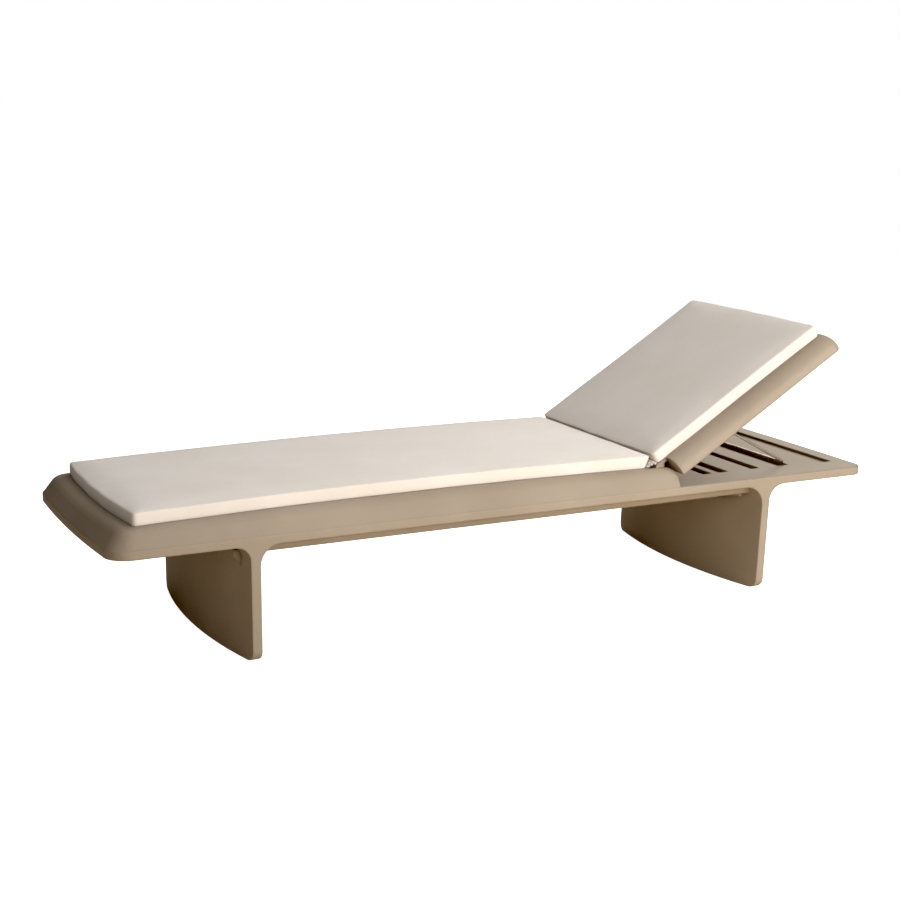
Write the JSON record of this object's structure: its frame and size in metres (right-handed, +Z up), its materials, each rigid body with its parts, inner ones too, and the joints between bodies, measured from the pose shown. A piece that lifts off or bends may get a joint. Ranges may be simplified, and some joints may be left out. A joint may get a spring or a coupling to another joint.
{
  "type": "relaxation lounger",
  "caption": "Low moulded relaxation lounger with bowed blade legs, a hinged backrest on a wire prop and notches, and loose flat pads.",
  "frame": {"origin": "on the floor under the middle of the moulded body", "axes": "+X along the lounger to the head end, +Y across it to the far side, +Z up"},
  "size_m": [2.0796, 0.696, 0.6873],
  "materials": {
    "moulding": "fine satin moulded skin, warm taupe",
    "pad_fabric": "pale beige woven spa fabric",
    "foam": "open-cell foam, hidden in the covers",
    "steel": "zinc-plated folded and forged steel",
    "screw_steel": "plated socket screws",
    "wire_steel": "stainless wire, softly polished",
    "nylon": "natural nylon",
    "clip_plastic": "black moulded nylon",
    "buffer_rubber": "soft black rubber",
    "glide_rubber": "hard black rubber",
    "hook_tape": "hook-and-loop tape"
  },
  "bodies": {
    "base": {"lounger_body": "moulding", "leg_glides": "glide_rubber", "hinge_bracket_near": "steel", "hinge_bracket_far": "steel", "bracket_screws": "screw_steel", "hinge_pins": "steel", "seat_grip_pads": "hook_tape", "seat_foam": "foam", "seat_cover": "pad_fabric"},
    "backrest": {"backrest_panel": "moulding", "hinge_arm_near": "steel", "hinge_arm_far": "steel", "arm_screws": "screw_steel", "hinge_bushes": "nylon", "panel_buffers": "buffer_rubber", "prop_clips": "clip_plastic", "clip_screws": "screw_steel", "prop_bushes": "nylon", "back_grip_pads": "hook_tape", "back_foam": "foam", "back_cover": "pad_fabric"},
    "prop": {"prop_wire": "wire_steel"}
  },
  "joints": [
    {"name": "backrest_recline", "type": "hinge", "parent": "base", "child": "backrest", "pos_m": [0.41, 0, 0.325], "axis": [0, -1, 0], "range_deg": [-31.5, 17.5]},
    {"name": "prop_swing", "type": "hinge", "parent": "backrest", "child": "prop", "pos_m": [0.62195, 0, 0.43846], "axis": [0, 1, 0], "range_deg": [-60.5, 33.8]}
  ],
  "couplings": [
    {"joint": "prop_swing", "follows": "backrest_recline", "ratio": 1.91}
  ]
}
